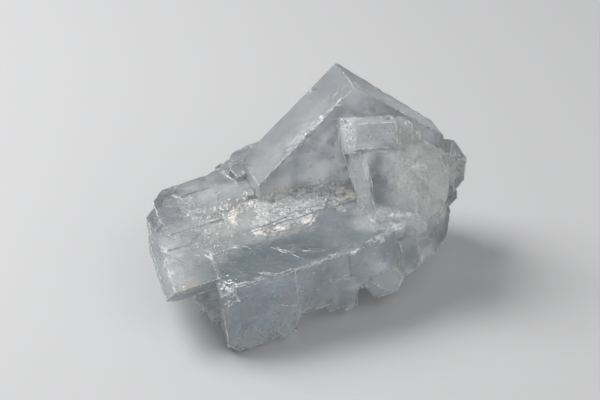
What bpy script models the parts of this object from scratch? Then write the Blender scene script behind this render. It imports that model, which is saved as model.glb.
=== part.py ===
"""A cluster of intergrown barite crystals, grown together as one solid.

A low group of tabular crystals in parallel growth carries one large upright crystal, a small
one that leans on it, a rough mass of little blades and, round the edges, smaller crystals.
Sizes are in millimetres and angles in degrees until they reach the mesh, which is in metres.
"""

import math
import random

import bmesh
import bpy
from mathutils import Matrix, Vector

MM = 0.001

# Barite's own angles: the corners of its prism, seen along the short axis of a tablet.
ACUTE_CORNER = 78.4
OBTUSE_CORNER = 101.6
LEAN = 1 / math.tan(math.radians(ACUTE_CORNER))

# The low group. Its frame stands at the top front left corner of the front block, with X
# along the front edge, Y to the back and Z across the tablets.
GROWTH_AT = (-16.1, -31.3, 16.3)
GROWTH_TURN = (2.2, -5.8, 24.5)
FRONT_LENGTH = 30.5
TABLET_DEPTH = 44.6
FRONT_RIGHT_TURN = 13.0
FOOT_LEAN = 6.5

# The large upright crystal. Its frame stands at the top corner of its front face, with Z
# out of that face and Y up through the corner.
UPRIGHT_AT = (12.2, 8.0, 45.4)
UPRIGHT_TURN = (88.3, -3.5, 17.6)
UPRIGHT_THICK = 13.5

# The small crystal that leans on it. Its frame stands at the foot of its front face.
LEANING_AT = (16.4, -9.6, 20.5)
LEANING_TURN = (58.3, -4.8, -3.8)
LEANING_THICK = 7.5

# The rounded rough mass on the right, and the little blades that roughen it.
MASS_AT = (26.6, 1.5, 25.0)
MASS_REACH = (6.9, 8.8, 9.4)
MASS_UNEVEN = 0.025
BLADES = 34

# Loose-looking crumbs where the upright crystal meets the low group.
CRUMBS = 20

GROUND = 30.0


def clear_scene():
    for old in list(bpy.data.objects):
        bpy.data.objects.remove(old)


def new_collection(name):
    collection = bpy.data.collections.new(name)
    bpy.context.scene.collection.children.link(collection)
    return collection


def radians(turn):
    return [math.radians(angle) for angle in turn]


def new_frame(name, at, turn, parent=None):
    """An empty that a group of crystals is placed from."""
    frame = bpy.data.objects.new(name, None)
    frame.empty_display_size = 5 * MM
    frame.location = Vector(at) * MM
    frame.rotation_euler = radians(turn)
    frame.parent = parent
    bpy.context.scene.collection.objects.link(frame)
    return frame


def cut_face(mesh, away, depth):
    """Cuts a flat face that looks along away, depth inside the farthest corner that way."""
    normal = Vector(away).normalized()
    reach = max(corner.co.dot(normal) for corner in mesh.verts)
    point = normal * (reach - depth * MM)
    every = mesh.verts[:] + mesh.edges[:] + mesh.faces[:]
    done = bmesh.ops.bisect_plane(
        mesh, geom=every, dist=1e-9, plane_co=point, plane_no=normal, clear_outer=True
    )
    rim = [made for made in done["geom_cut"] if isinstance(made, bmesh.types.BMEdge)]
    bmesh.ops.edgeloop_fill(mesh, edges=rim)


def place(name, mesh, frame, group):
    """Makes the mesh an object that stands in its frame."""
    bmesh.ops.recalc_face_normals(mesh, faces=mesh.faces)
    data = bpy.data.meshes.new(name)
    mesh.to_mesh(data)
    mesh.free()
    made = bpy.data.objects.new(name, data)
    made.parent = frame
    group.objects.link(made)
    return made


def crystal(name, frame, group, x, y, z, cuts=(), lean=0.0, turn=(0, 0, 0)):
    """One convex crystal: a box between x, y and z in its frame, with faces cut on it.

    A lean slides each slice of the box along X as Y grows, which makes a rhombic tablet.
    """
    middle = Vector(((x[0] + x[1]) / 2, (y[0] + y[1]) / 2, (z[0] + z[1]) / 2))
    size = (x[1] - x[0], y[1] - y[0], z[1] - z[0])
    mesh = bmesh.new()
    bmesh.ops.create_cube(mesh, size=1.0)
    bmesh.ops.scale(mesh, vec=Vector(size) * MM, verts=mesh.verts)
    shear = Matrix(((1, lean, 0), (0, 1, 0), (0, 0, 1)))
    bmesh.ops.transform(mesh, matrix=shear.to_4x4(), verts=mesh.verts)
    middle.x += lean * middle.y
    for away, depth in cuts:
        cut_face(mesh, away, depth)
    made = place(name, mesh, frame, group)
    made.location = middle * MM
    made.rotation_euler = radians(turn)
    return made


def tablet(name, frame, group, x, y, z, cuts=(), turn=(0, 0, 0)):
    """A crystal whose outline is barite's rhombus, with x measured where y is 0."""
    return crystal(name, frame, group, x, y, z, cuts, LEAN, turn)


def low_group(growth, group):
    """The front block on its foot, and the tablets behind it."""
    tablet(
        "front_block", growth, group, (-0.3, FRONT_LENGTH), (0, 24), (-12.2, 0),
        [((0, -1, 1), 0.35), ((-1, 0.2, 1), 0.45), ((0, -1, -1), 0.8)],
    )
    tablet(
        "foot", growth, group, (-0.9, 16.8), (-1.0, 18), (-17.2, -1.2),
        [
            ((0, -1, -1), 0.5), ((-1, 0, 1), 0.7), ((-1, 0, -1), 1.0), ((1, 0, -1), 4.4),
            ((1, 0, -0.35), 1.3), ((-1, -1, -1), 0.8),
        ],
        (-FOOT_LEAN, 0, 0),
    )
    tablet(
        "middle_tablet", growth, group, (5.5, 38.0), (16.5, TABLET_DEPTH), (-13, 0.3),
        [((1, 1, 0), 4), ((1, -0.3, -1), 6), ((0, 1, -1), 5), ((-1, -0.8, 0), 3.6)],
    )
    tablet(
        "heart", growth, group, (2, 33), (5, 41), (-21, -8),
        [
            ((-1, -1, 0), 6), ((1, -1, 0), 8), ((1, 1, 0), 7), ((-1, 1, 0), 7),
            ((-1, 0, -1), 5), ((0, 1, -1), 6), ((1, 0, -1), 6), ((0, -1, -1), 3),
        ],
    )


def broken_edge(growth, group):
    """The lower edge of the front block, broken off in steps to the right of its foot."""
    chance = random.Random(7)
    for number in range(7):
        start = 14.2 + 2.3 * number
        low = -12.0 - 0.9 * number + chance.uniform(-0.7, 0.4)
        crystal(
            f"broken_{number}", growth, group, (start, start + 3.4), (0.3, 9), (low, -9),
            [((0, -1, -1), chance.uniform(0.3, 1.2)), ((1, 0, -1), chance.uniform(0.4, 1.4))],
            0.0, (chance.uniform(-3, 3), chance.uniform(-6, 6), chance.uniform(-5, 5)),
        )


def left_tablets(growth, group):
    """Three tablets side by side, whose bevelled ends make the left side, over steps."""
    bevel = ((-1, 0.2, 0.75), 1.5)
    tablet(
        "left_front", growth, group, (-12.3, 10), (4.6, 31.4), (-7, -0.45),
        [bevel, ((0, -1, -0.8), 4.9), ((-1, 0, -1), 1.4)],
    )
    tablet(
        "left_middle", growth, group, (-11.3, 10), (20, 38.2), (-8.4, -0.6),
        [((-1, 0.2, 1), 1.3), ((-1, 0, -1), 1.5)],
    )
    tablet(
        "left_back", growth, group, (-9.0, 13), (26, 44.6), (-9, -0.1),
        [((-1, 1, 0), 2.4), ((-1, 0, 1), 1.0), ((0, 1, 1), 0.6), ((-1, 0, -1), 2.2)],
    )
    for number in range(4):
        tablet(
            f"left_step_{number}", growth, group, (-7.8 + 1.35 * number, 8),
            (8.2 - 0.3 * number, 24 + 3 * number), (-5.2 - 3.2 * number, -1.0 - 3.2 * number),
            [((0, -1, -1), 1.3), ((-1, 0, -1), 1.0), ((-1, 0, 1), 0.6)],
            (0, 0, (-2, 3, -1, 4)[number]),
        )


def right_end(growth, group):
    """The front block's neighbour, turned a little, and the crystals that end the group."""
    turned = new_frame("front_right", (29.5, -0.6, 0), (0, 0, FRONT_RIGHT_TURN), growth)
    crystal(
        "right_block", turned, group, (0, 17), (0, 26), (-13, -0.12),
        [((0, -1, 1), 0.5), ((0, -1, -1), 2), ((1, -1, 0), 1.0), ((1, 0, -1), 4)],
    )
    crystal(
        "right_foot", turned, group, (4.6, 16.0), (-1.8, 18), (-17.2, -8.4),
        [
            ((0, -1, 1), 4.2), ((-1, 0, -1), 3), ((-1, -1, 0), 2.4), ((1, -1, -0.3), 2.6),
            ((0, -1, -1), 1.6), ((1, 0, 1), 2),
        ],
        0.0, (0, 3, -8),
    )
    crystal(
        "right_inner", turned, group, (12.5, 22.6), (-0.6, 20), (-15.6, -3.0),
        [((1, -1, 0), 3.4), ((1, 0, 1), 4.0), ((1, 0, -1), 3.0), ((0, -1, -1), 1.6)],
        0.0, (0, -4, 6),
    )
    crystal(
        "right_outer", turned, group, (17.0, 28.6), (4, 27), (-16, -2.5),
        [((1, -1, 0.3), 4.4), ((1, 0, 1), 3.0), ((1, -0.4, -1), 4.6)], 0.0, (4, 0, 10),
    )
    crystal(
        "right_chip", turned, group, (16.0, 20.5), (0.6, 9), (-9.5, -3),
        [((1, -1, 0), 1.4), ((0, -1, 1), 1.6)], 0.0, (8, 12, -14),
    )


def rhomb_cuts(left, right):
    """The two prism faces that meet in an obtuse corner at the middle of the top."""
    slope = math.radians(90 - OBTUSE_CORNER / 2)
    side, rise = math.sin(slope), math.cos(slope)
    return [((-side, rise, 0), left * side), ((side, rise, 0), right * side)]


def upright_crystal(frame, group):
    """The large rhombic crystal, thinner to the right, and a thinner one on its back."""
    left, right = 24.0, 20.5
    crystal(
        "upright", frame, group, (-left, right), (-37, 0), (-UPRIGHT_THICK, 0),
        rhomb_cuts(left, right) + [((0.5, 0.3, -1), 4.4), ((-1, -1, -1), 4)],
    )
    crystal(
        "upright_back", frame, group, (-15, 15), (-33, -9.5), (-17.6, -9),
        rhomb_cuts(15, 15) + [((0, -1, -1), 4), ((-1, -1, 0), 6), ((1, 0, -1), 1.2)],
    )
    crystal(
        "upright_step", frame, group, (-9, 9), (-30, -15.5), (-19.2, -14),
        rhomb_cuts(9, 9) + [((1, -1, 0), 4), ((0, -1, -1), 2)], 0.0, (0, 0, 3),
    )


def leaning_crystal(frame, group):
    """The small tablet that leans on the upright one."""
    crystal(
        "leaning", frame, group, (-7.8, 11.2), (-2.6, 23.4), (-LEANING_THICK, 0),
        [
            ((-0.974, -0.225, 0), 5.6), ((-0.9, -0.44, 0), 2.4), ((-1, -0.2, 0.9), 3.0),
            ((0, -1, 1), 2.7), ((0, 1, 1), 1.1), ((1, 1, 0), 2.5), ((1, 0, 1), 1.2),
        ],
        0.0, (0, 0, 1.5),
    )
    crystal(
        "leaning_cap", frame, group, (-8.3, 7.4), (15.8, 23.9), (-6.4, 0.7),
        [
            ((-0.974, -0.225, 0), 1.7), ((-1, -0.2, 0.9), 2.5), ((0, 1, 1), 1.3),
            ((1, 0, 1), 1.1), ((0, -1, 1), 0.5), ((1, 1, 0), 2.0),
        ],
        0.0, (0, 0, 1.5),
    )
    crystal(
        "leaning_root", frame, group, (-4, 12), (-4, 18), (-19, -5),
        [((-1, 0, -1), 3), ((0, -1, -1), 4), ((-1, -1, 0), 3)],
    )


def rough_mass(group, seat):
    """A rounded lobe with little blades sunk into it, on a core that joins it to the rest."""
    frame = new_frame("mass", MASS_AT, (0, 0, 6), seat)
    chance = random.Random(11)
    lobe = bmesh.new()
    bmesh.ops.create_icosphere(lobe, subdivisions=3, radius=1.0)
    for corner in lobe.verts:
        corner.co *= 1 + chance.uniform(-MASS_UNEVEN, MASS_UNEVEN)
    bmesh.ops.scale(lobe, vec=Vector(MASS_REACH) * MM, verts=lobe.verts)
    place("mass_lobe", lobe, frame, group)
    crystal(
        "mass_core", frame, group, (-6, 4.6), (-5, 11), (-13, 5),
        [((1, -0.5, -0.7), 4), ((1, -1, 0), 3.5), ((1, 1, 0), 2), ((1, 0, 1), 3)],
    )
    for number in range(BLADES):
        across = math.radians(chance.uniform(-85, 60))
        rise = chance.uniform(-0.85, 0.85)
        reach = math.sqrt(1 - rise * rise)
        out = Vector((math.cos(across) * reach, math.sin(across) * reach, rise))
        middle = Vector([part * size for part, size in zip(out, MASS_REACH)]) * 0.88
        long, wide = chance.uniform(3.0, 6.0), chance.uniform(0.9, 1.9)
        blade = crystal(
            f"blade_{number}", frame, group, (-wide / 2, wide / 2), (-1.5, 1.5), (-long / 2, long / 2),
            [((0, 1, 1), 0.7), ((1, 1, 0), 0.3), ((0, 1, -1), 0.7)],
        )
        blade.location = middle * MM
        blade.rotation_euler = (
            math.asin(rise) * 0.8, chance.uniform(-0.2, 0.2), across - math.pi / 2
        )


def right_crystals(seat, group):
    """The thin crystal behind the rough mass, and the one below it."""
    crystal(
        "right_behind", seat, group, (28, 38.3), (12, 21), (9, 25.3),
        [((1, 0, 0.8), 2.6), ((1, 0, -0.9), 6.4), ((1, -1, 0), 1.5), ((0, -1, 0.8), 1.6)],
        0.0, (0, 0, -8),
    )
    crystal(
        "right_behind_2", seat, group, (26, 35.8), (15, 24), (6, 19),
        [((1, 0, 0.8), 3), ((1, 0, -0.9), 4), ((1, 1, 0), 2.5), ((0, 1, 1), 3)],
        0.0, (0, 0, 12),
    )
    crystal(
        "right_below", seat, group, (24, 33.2), (-2, 14), (4.8, 19),
        [((1, 0, -1), 4.4), ((1, -1, 0), 2.6), ((1, 0, 1), 1.2)], 0.0, (0, 4, 12),
    )


def little_crystal(name, frame, group, chance, at, size, turn):
    """A small blocky crystal with its corners cut by chance."""
    half = [side / 2 * chance.uniform(0.8, 1.2) for side in size]
    corners = [((-1, 1, 0), 0.5), ((1, 0, 1), 0.3), ((0, 1, 1), 0.35), ((-1, 0, -1), 0.4)]
    cuts = [(away, part * min(half) * chance.uniform(0.5, 1.1)) for away, part in corners]
    spread = [angle + chance.uniform(-9, 9) for angle in turn]
    made = crystal(
        name, frame, group, (-half[0], half[0]), (-half[1], half[1]), (-half[2], half[2]),
        cuts, LEAN, spread,
    )
    made.location = Vector(at) * MM


def back_left_druse(growth, group):
    """Small crystals in the angle between the left tablets and the upright crystal."""
    chance = random.Random(3)
    places = [
        (20.5, 43.6, -2.2), (24.0, 45.4, -2.0), (27.5, 46.4, -2.4), (31.0, 44.6, -1.6),
        (22.0, 40.4, -1.4), (18.8, 45.8, -5.0), (25.5, 48.4, -5.4), (31.5, 48.6, -6.0),
        (15.4, 44.8, -6.5), (36.0, 46.6, -5.0),
    ]
    for number, at in enumerate(places):
        little_crystal(f"druse_{number}", growth, group, chance, at, (6.2, 6.4, 6.6), (0, 0, 8))


def back_side(growth, group):
    """Broken tablets under the back edge, where the group came off its rock."""
    tablet(
        "back_low", growth, group, (-2, 21), (34, 46.5), (-15, -4),
        [((-1, 1, 0), 4), ((1, 1, 0), 3), ((0, 1, -1), 4), ((0, 1, 1), 1.5), ((-1, 0, -1), 5)],
        (-6, 4, 6),
    )
    tablet(
        "back_right", growth, group, (19, 37), (30, 43.5), (-17, -3),
        [((1, 1, 0), 4), ((0, 1, -1), 4), ((1, 0, -1), 4), ((1, 1, 1), 3)], (0, 0, -10),
    )
    chance = random.Random(5)
    for number in range(7):
        at = (9 + 5.0 * number, 43.6 - 0.5 * number, -8.5 - 1.2 * (number % 3))
        little_crystal(f"back_{number}", growth, group, chance, at, (6, 6, 6), (10, 0, 0))


def root(seat, group):
    """The stub under the right half that held the cluster to its rock, sawn off flat."""
    crystal(
        "root_front", seat, group, (3, 25), (-5, 17), (-3, 13.6),
        [((1, -1, 0), 5.0), ((1, 1, 0), 6), ((1, 0, -1), 4), ((0, -1, -1), 2.6)], 0.0, (0, 0, 9),
    )
    crystal(
        "root_back", seat, group, (-4, 14), (8, 21), (-2, 9),
        [((-1, 1, 0), 5), ((1, 1, 0), 4), ((0, 1, -1), 4), ((-1, 0, -1), 3)], 0.0, (0, 0, -14),
    )


def growth_steps(growth, group):
    """Thin plates of later growth: on the block, on the middle tablet and on the left."""
    plates = [
        ("over_left", (-0.9, 9.5), (13.0, 21.0), 0.16, -5),
        ("over_middle", (5.0, 15.0), (12.2, 18), 0.22, 4),
        ("over_right", (15.0, 26.0), (13.6, 18.5), 0.16, -3),
        ("middle_front", (10.5, 21), (17.4, 25), 0.5, 3),
        ("middle_right", (20.5, 31), (18.4, 24.5), 0.46, -4),
        ("middle_back", (13.5, 33), (22.5, 29), 0.72, 2),
        ("left_front_plate", (-10.6, -1.0), (20.5, 30.4), -0.28, -2),
        ("left_back_plate", (-4.0, 9.0), (38.4, 43.5), 0.1, 2),
    ]
    for name, across, back, top, turn in plates:
        tablet(
            name, growth, group, across, back, (-1.6, top),
            [
                ((1, -1, 0.5), 1.7), ((-1, -0.6, 0.5), 1.3), ((-1, 1, 0.5), 1.1), ((0, -1, 1), 0.1),
                ((1, 0.3, 1), 0.15),
            ],
            (0, 0, turn),
        )


def contact_rubble(growth, group):
    """Crumbs and small ledges where the upright crystal stands on the middle tablet."""
    chance = random.Random(17)
    for number in range(CRUMBS):
        along = number / (CRUMBS - 1)
        at = (
            19.0 + 20 * along + chance.uniform(-1, 1),
            30.6 - 9 * along + chance.uniform(-2.6, 1.0), 0.3 + chance.uniform(-0.2, 0.4),
        )
        size = (chance.uniform(1.6, 4.2), chance.uniform(1.2, 2.6), 1.7)
        turn = (chance.uniform(-8, 8), chance.uniform(-8, 8), chance.uniform(-30, 40))
        little_crystal(f"crumb_{number}", growth, group, chance, at, size, turn)


def nicks(growth, upright, leaning, group):
    """Small wedges taken out of the crystals' edges, where they were knocked."""
    chance = random.Random(29)
    places = [
        (growth, (0.5, 0.0, 0.2), 1.5), (growth, (12.0, -0.1, 0.2), 0.8),
        (growth, (19.5, -0.1, 0.3), 0.9), (growth, (25.0, -0.2, 0.2), 1.1),
        (growth, (-7.3, 24.0, 0.6), 0.9), (growth, (-10.4, 9.0, 0.5), 0.8),
        (upright, (-3.6, -3.0, 0.2), 1.0), (upright, (-11.5, -9.6, 0.3), 1.3),
        (upright, (-6.6, -4.8, -12.0), 1.1), (upright, (8.4, -6.8, -10.0), 1.0),
        (leaning, (-6.9, 22.6, 0.0), 1.6), (leaning, (-6.2, 17.8, -0.4), 1.2),
        (leaning, (4.0, 23.4, 0.2), 0.9), (growth, (40.0, 2.6, 0.6), 1.2),
    ]
    for number, (frame, at, size) in enumerate(places):
        nick = crystal(
            f"nick_{number}", frame, group, (-size, size), (-size * 0.8, size * 0.8),
            (-size * 0.6, size * 0.6), [((1, 1, 1), size * 0.6), ((-1, 0, 1), size * 0.4)],
        )
        nick.location = Vector(at) * MM
        nick.rotation_euler = [chance.uniform(-0.9, 0.9) for _ in range(3)]


def barite_material():
    material = bpy.data.materials.new("barite")
    material.use_nodes = True
    shader = material.node_tree.nodes["Principled BSDF"]
    shader.inputs["Base Color"].default_value = (0.62, 0.66, 0.68, 1)
    shader.inputs["Roughness"].default_value = 0.25
    shader.inputs["Metallic"].default_value = 0.0
    shader.inputs["IOR"].default_value = 1.64
    shader.inputs["Transmission Weight"].default_value = 0.6
    return material


def add_boolean(target, name, operation, group):
    modifier = target.modifiers.new(name, "BOOLEAN")
    modifier.operation = operation
    modifier.operand_type = "COLLECTION"
    modifier.collection = group
    modifier.solver = "EXACT"


def hide_helpers(group):
    for helper in group.objects:
        helper.hide_render = True
        helper.display_type = "WIRE"


def centre(seat, target):
    """Moves the seat so that the cluster stands over the origin."""
    bpy.context.view_layer.update()
    solid = target.evaluated_get(bpy.context.evaluated_depsgraph_get())
    places = [solid.matrix_world @ corner.co for corner in solid.data.vertices]
    for axis in (0, 1):
        along = [place[axis] for place in places]
        seat.location[axis] -= (min(along) + max(along)) / 2


def build():
    clear_scene()
    barite = new_collection("barite_cluster")
    grown = new_collection("grown_together")
    taken = new_collection("taken_away")
    seat = new_frame("seat", (0, 0, 0), (0, 0, 0))
    growth = new_frame("growth", GROWTH_AT, GROWTH_TURN, seat)
    upright = new_frame("upright_frame", UPRIGHT_AT, UPRIGHT_TURN, seat)
    leaning = new_frame("leaning_frame", LEANING_AT, LEANING_TURN, seat)

    cluster = tablet(
        "barite", growth, barite, (6, 30), (12, 38), (-11, -0.4), [((1, 1, 0), 3)]
    )
    low_group(growth, grown)
    broken_edge(growth, grown)
    left_tablets(growth, grown)
    right_end(growth, grown)
    upright_crystal(upright, grown)
    leaning_crystal(leaning, grown)
    rough_mass(grown, seat)
    right_crystals(seat, grown)
    back_left_druse(growth, grown)
    back_side(growth, grown)
    root(seat, grown)
    growth_steps(growth, grown)
    contact_rubble(growth, grown)

    nicks(growth, upright, leaning, taken)
    crystal("ground", seat, taken, (-60, 60), (-60, 60), (-GROUND, 0))

    add_boolean(cluster, "grow_together", "UNION", grown)
    add_boolean(cluster, "take_away", "DIFFERENCE", taken)
    cluster.data.materials.append(barite_material())
    hide_helpers(grown)
    hide_helpers(taken)
    centre(seat, cluster)


build()
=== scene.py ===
import math
import random

import bmesh
import bpy
from mathutils import Euler, Matrix, Vector, noise
from mathutils.bvhtree import BVHTree
from mathutils.kdtree import KDTree


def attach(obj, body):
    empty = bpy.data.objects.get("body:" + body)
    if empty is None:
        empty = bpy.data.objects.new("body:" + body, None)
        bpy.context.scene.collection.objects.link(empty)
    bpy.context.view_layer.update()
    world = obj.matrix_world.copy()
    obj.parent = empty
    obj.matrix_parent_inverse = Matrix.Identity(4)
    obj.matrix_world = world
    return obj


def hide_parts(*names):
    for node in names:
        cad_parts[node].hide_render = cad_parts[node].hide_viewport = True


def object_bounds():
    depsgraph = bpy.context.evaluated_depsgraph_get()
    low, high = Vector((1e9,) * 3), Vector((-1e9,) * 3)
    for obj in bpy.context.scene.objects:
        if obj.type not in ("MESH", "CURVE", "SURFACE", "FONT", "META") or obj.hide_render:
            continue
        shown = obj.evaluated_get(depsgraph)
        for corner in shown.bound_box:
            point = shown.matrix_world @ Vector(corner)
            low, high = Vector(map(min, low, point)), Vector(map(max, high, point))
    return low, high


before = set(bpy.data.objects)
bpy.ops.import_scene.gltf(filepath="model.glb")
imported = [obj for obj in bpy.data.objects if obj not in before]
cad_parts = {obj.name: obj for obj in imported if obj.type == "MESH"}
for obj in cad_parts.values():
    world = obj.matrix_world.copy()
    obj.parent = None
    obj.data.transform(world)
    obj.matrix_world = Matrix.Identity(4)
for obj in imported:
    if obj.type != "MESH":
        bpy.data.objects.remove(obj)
cad_low, cad_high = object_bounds()

# ---------------------------------------------------------------------------------------
# The crystals. Barite is a heavy soft mineral that grows in thick tablets; these have grown
# into each other, so the cluster is one piece with one closed skin. Its flat faces are even
# and a little satiny, milky in places and clear in others, and its sharp edges are knocked.

MM = 0.001
LONG_EDGE, LONG_EDGE_FLAT = 4 * MM, 0.18 * MM
SHARP, SAME_FLAT = math.radians(20), math.radians(0.4)
SAME_PLACE, REAL_FACE, BROAD_FACE = 2e-6, 0.7 * MM, 1.5 * MM
SKIN_STEP, FINE_STEP = 1.25 * MM, 0.50 * MM
MOST_CUTS = 10
NOISE_SEED = 7


def turned_frame(at, turn):
    """Where a crystal stands: its own X, Y and Z from its own corner, in mm."""
    angles = [math.radians(angle) for angle in turn]
    return Matrix.Translation(at) @ Euler(angles).to_matrix().to_4x4()


LOW_GROUP = turned_frame((-18.03, -30.61, 16.3), (2.2, -5.8, 24.5))
UPRIGHT = turned_frame((10.27, 8.69, 45.4), (88.3, -3.5, 17.6))
LEANING = turned_frame((14.47, -8.91, 20.5), (58.3, -4.8, -3.8))
WHOLE = Matrix.Identity(4)

# Regions that are worn round, broken rough or overgrown: frame, middle and half size in mm.
LOBE = (WHOLE, (24.7, 2.2, 25.0), (8.4, 10.4, 11.0))
DRUSE = (WHOLE, (-14.0, 17.1, 17.5), (10.5, 6.8, 7.5))
LOWER_RIGHT = (WHOLE, (27.0, -1.0, 8.5), (11.0, 13.0, 9.0))
RAGGED = (LOW_GROUP, (25.0, 2.5, -13.8), (9.5, 5.5, 4.6))
LEFT_STEPS = (LOW_GROUP, (-6.0, 14.0, -11.0), (6.5, 10.0, 6.0))
OVERGROWN = (LOW_GROUP, (26.0, 21.0, 1.4), (14.0, 7.6, 2.6))
SMALL_CRYSTAL = (LEANING, (2.5, 10.5, 0.4), (9.5, 13.0, 1.3))
SEAM = (LOW_GROUP, (16.4, -0.4, -7.5), (2.4, 1.8, 8.0))


def merged_copy(node):
    """A solid's mesh with its loose triangles joined and its flat faces made whole."""
    mesh = bmesh.new()
    mesh.from_mesh(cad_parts[node].data)
    bmesh.ops.remove_doubles(mesh, verts=mesh.verts, dist=SAME_PLACE)
    bmesh.ops.dissolve_limit(mesh, angle_limit=SAME_FLAT, verts=mesh.verts, edges=mesh.edges)
    return mesh


def narrower_face(edge):
    """How far the narrower of an edge's two faces reaches away from it."""
    return min(face.calc_area() for face in edge.link_faces) / edge.calc_length()


def edge_points(mesh, outward, step):
    """Places along the edges between two real faces, that stand out or that fold in."""
    points = []
    for edge in mesh.edges:
        turn = edge.calc_face_angle_signed(0.0) * (1 if outward else -1)
        if turn < SHARP or edge.calc_length() < 0.8 * MM:
            continue
        if outward and narrower_face(edge) < REAL_FACE:
            continue
        first, last = (vert.co for vert in edge.verts)
        count = max(2, int(edge.calc_length() / step))
        points += [first.lerp(last, number / count) for number in range(count + 1)]
    return points


def sharp_runs(mesh, shortest):
    """The two ends of each sharp edge that stands out between two real faces."""
    return [
        [vert.co.copy() for vert in edge.verts] for edge in mesh.edges
        if edge.calc_length() > shortest and edge.calc_face_angle_signed(0.0) > SHARP
        and narrower_face(edge) > REAL_FACE
    ]


def tree_of(points):
    tree = KDTree(len(points))
    for number, point in enumerate(points):
        tree.insert(point, number)
    tree.balance()
    return tree


def ease_edges(mesh, shortest, width, segments):
    """Puts a narrow flat along each long edge that stands out between two broad faces."""
    edges = [
        edge for edge in mesh.edges
        if edge.calc_length() > shortest and edge.calc_face_angle_signed(0.0) > SHARP
        and narrower_face(edge) > BROAD_FACE
    ]
    before = BVHTree.FromBMesh(mesh)
    bmesh.ops.bevel(
        mesh, geom=edges, offset=width, offset_type="OFFSET", segments=segments, profile=0.5,
        affect="EDGES", clamp_overlap=False, material=-1,
    )
    for vert in mesh.verts:
        near, normal, _, away = before.find_nearest(vert.co)
        if away > 1.2 * width or (vert.co - near).dot(normal) > 0.002 * MM:
            vert.co = near


def share_of(region, place, soft=0.4):
    """1 inside a region, falling to 0 past its rounded box. Place is in mm."""
    back, middle, half, centre, reach = region
    if (place - centre).length_squared > reach:
        return 0.0
    local = back @ place
    away = sum((abs(local[i] - middle[i]) / half[i]) ** 3 for i in range(3)) ** (1 / 3)
    near = min(max((1 + soft / 2 - away) / soft, 0.0), 1.0)
    return near * near * (3 - 2 * near)


def ready(region):
    """The same region as share_of wants it, with a ball that holds all of it."""
    stand, middle, half = region
    reach = 1.6 * Vector(half).length_squared
    return (stand.inverted(), middle, half, stand @ Vector(middle), reach)


def inside_any(regions, place):
    return any(share_of(region, place) > 0.2 for region in regions)


def cut_small(mesh, step, regions=()):
    """Halves the longest edge of each facet, everywhere or in some regions, down to step."""
    regions = [ready(region) for region in regions]
    for _ in range(MOST_CUTS):
        chosen = set()
        for face in mesh.faces:
            edge = max(face.edges, key=bmesh.types.BMEdge.calc_length)
            if edge.calc_length() > step:
                chosen.add(edge)
        if regions:
            chosen = {edge for edge in chosen if inside_any(regions, edge.verts[0].co / MM)}
        if not chosen:
            break
        bmesh.ops.subdivide_edges(
            mesh, edges=list(chosen), cuts=1, use_grid_fill=True, use_single_edge=True
        )
        bmesh.ops.triangulate(mesh, faces=[face for face in mesh.faces if len(face.verts) > 3])
    same = {}
    for face in mesh.faces:
        same.setdefault(frozenset(face.verts), []).append(face)
    folded = [face for faces in same.values() if len(faces) > 1 for face in faces]
    bmesh.ops.delete(mesh, geom=folded, context="FACES")


def soften(mesh, region, times):
    """Rounds the little facets in a region, where the crystals are worn into soft lumps."""
    region = ready(region)
    chosen = [vert for vert in mesh.verts if share_of(region, vert.co / MM) > 0.3]
    for _ in range(times):
        bmesh.ops.smooth_vert(
            mesh, verts=chosen, factor=0.5, use_axis_x=True, use_axis_y=True, use_axis_z=True
        )


def overgrowth(place, seed):
    """How far inside an island of later growth a place is: 0 outside, 1 on its top."""
    shift = Vector((seed * 7.1, seed * 3.3, 0))
    height = noise.noise(place * 0.26 + shift) + 0.42 * noise.noise(place * 0.85 + shift)
    height += 0.16 * noise.noise(place * 2.4 + shift)
    share = min(max((height - 0.03) / 0.07, 0.0), 1.0)
    return share * share * (3 - 2 * share)


# How deep the wear goes and how high the later growth stands, in mm.
EDGE_REACH, EDGE_RUB, EDGE_CHIP = 0.85, 0.03, 0.75
FACE_SWELL, BROKEN_BITE, ROUGH_LUMP = 0.075, 1.5, 0.16
LOBE_RIB, LOBE_LUMP = 0.22, 0.45
LOWER_PLATE, UPPER_PLATE = 0.24, 0.20


def edge_wear(at, outer):
    """What is gone from a sharp edge: a little all along, and more where it is chipped."""
    place = at / MM
    near = max(0.0, 1 - outer.find(at)[2] / (EDGE_REACH * MM))
    large, small = noise.noise(place * 0.5) - 0.12, noise.noise(place * 1.6) - 0.15
    return near * (EDGE_RUB + EDGE_CHIP * (max(0.0, large) + 0.5 * max(0.0, small)))


def face_swell(place):
    """The slight unevenness of a flat face."""
    swell = noise.noise(place * 0.16) * 0.6 + noise.noise(place * 0.55) * 0.4
    return FACE_SWELL * (swell + 0.5)


def lobe_relief(place):
    """The lobe's upright ribs and soft lumps."""
    rib = noise.noise(Vector((place.x * 0.9, place.y * 0.9, place.z * 0.22)))
    return LOBE_RIB * (rib + 0.5) + LOBE_LUMP * (noise.noise(place * 0.38) + 0.4)


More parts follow.
